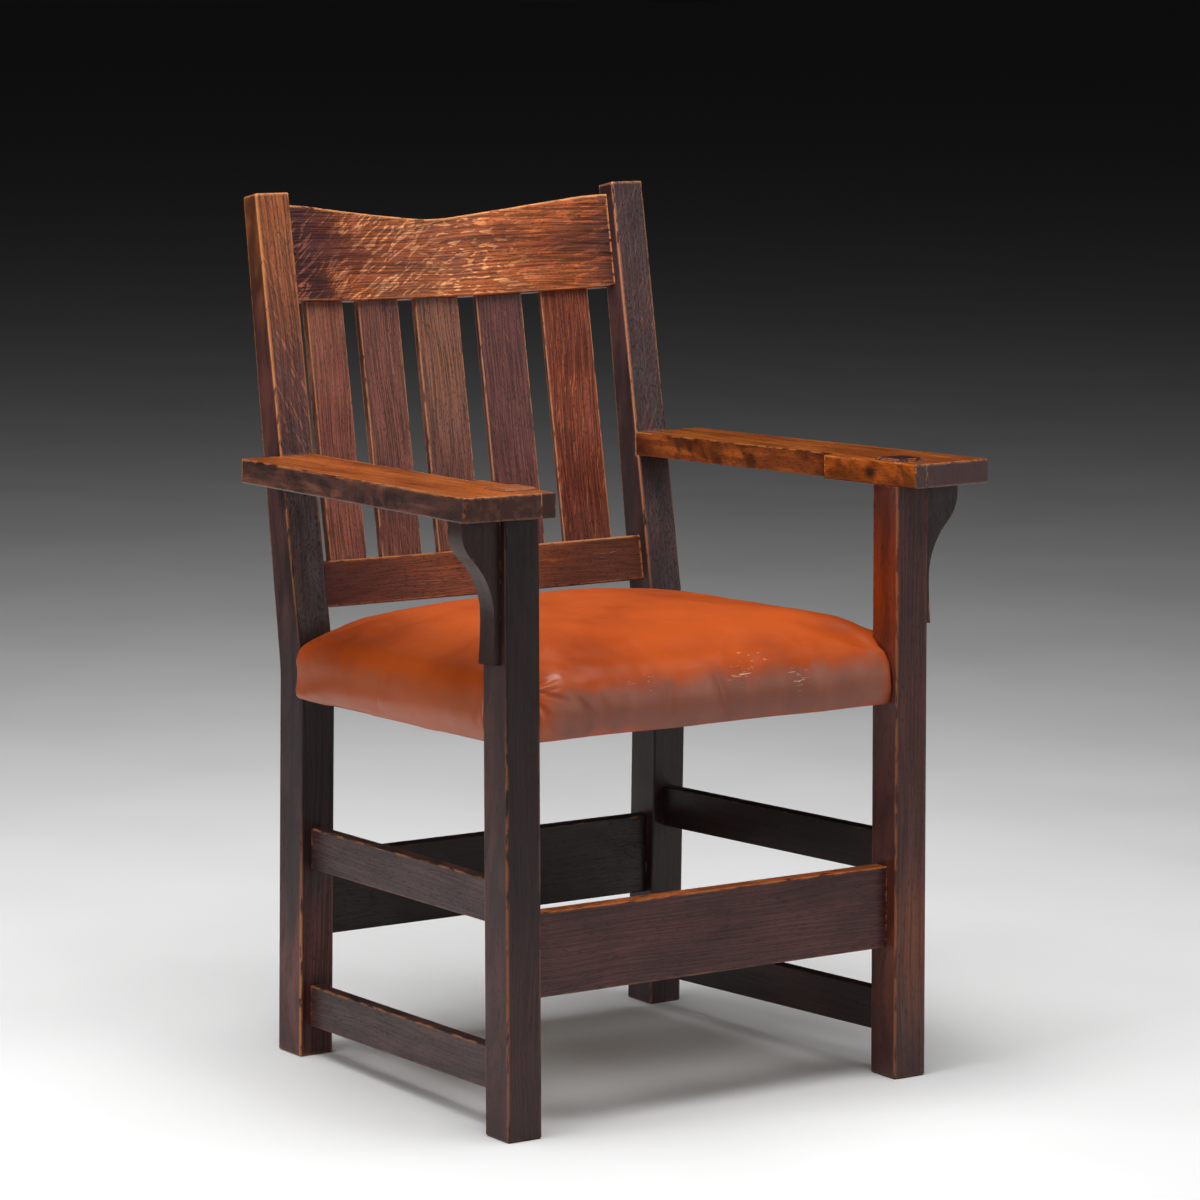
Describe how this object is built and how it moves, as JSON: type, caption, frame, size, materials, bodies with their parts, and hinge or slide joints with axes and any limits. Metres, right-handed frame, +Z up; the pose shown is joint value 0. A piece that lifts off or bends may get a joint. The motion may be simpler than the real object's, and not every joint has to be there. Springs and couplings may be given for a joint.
{
  "type": "mission armchair",
  "caption": "Straight dark oak armchair with bent raked rear posts, bowed slatted back, flat splayed arms on corbels, box stretchers and a crowned leather seat.",
  "frame": {"origin": "on the floor, under the middle of the chair's overall box", "axes": "+Z up, +X to the sitter's left (the viewer's right from the front), -Y to the front"},
  "size_m": [0.661, 0.589, 0.9139],
  "materials": {
    "dark_oak": "quartersawn oak, fumed and oiled nearly black, worn to brown on its edges, satin",
    "arm_oak": "quartersawn oak, rubbed warm brown by hands, semi-gloss",
    "crest_oak": "quartersawn oak with strong ray flecks, dark brown, satin",
    "frame_ash": "plain sawn ash, unfinished",
    "seat_leather": "pigmented cowhide, cognac, semi-gloss",
    "stuffing_felt": "cotton felt over hair",
    "jute_burlap": "plain woven jute",
    "jute_webbing": "jute webbing with a dark thread at each edge",
    "screw_steel": "bright steel",
    "tack_iron": "blued steel"
  },
  "bodies": {
    "root": {"arm_dowels": "dark_oak", "back_slat_1": "dark_oak", "back_slat_2": "dark_oak", "back_slat_3": "dark_oak", "back_slat_4": "dark_oak", "back_slat_5": "dark_oak", "block_screws": "screw_steel", "cover_tacks": "tack_iron", "crest_rail": "crest_oak", "cross_webbing": "jute_webbing", "front_left_block": "frame_ash", "front_left_post": "dark_oak", "front_right_block": "frame_ash", "front_right_post": "dark_oak", "front_seat_rail": "frame_ash", "front_stretcher": "dark_oak", "left_arm": "arm_oak", "left_arm_strip": "arm_oak", "left_corbel": "dark_oak", "left_lower_stretcher": "dark_oak", "left_seat_rail": "frame_ash", "left_upper_stretcher": "dark_oak", "long_webbing": "jute_webbing", "lower_back_rail": "dark_oak", "rear_left_block": "frame_ash", "rear_left_post": "dark_oak", "rear_right_block": "frame_ash", "rear_right_post": "dark_oak", "rear_seat_rail": "frame_ash", "rear_stretcher": "dark_oak", "right_arm": "arm_oak", "right_arm_strip": "arm_oak", "right_corbel": "dark_oak", "right_lower_stretcher": "dark_oak", "right_seat_rail": "frame_ash", "right_upper_stretcher": "dark_oak", "seat_burlap": "jute_burlap", "seat_cover": "seat_leather", "seat_stuffing": "stuffing_felt"}
  },
  "joints": []
}
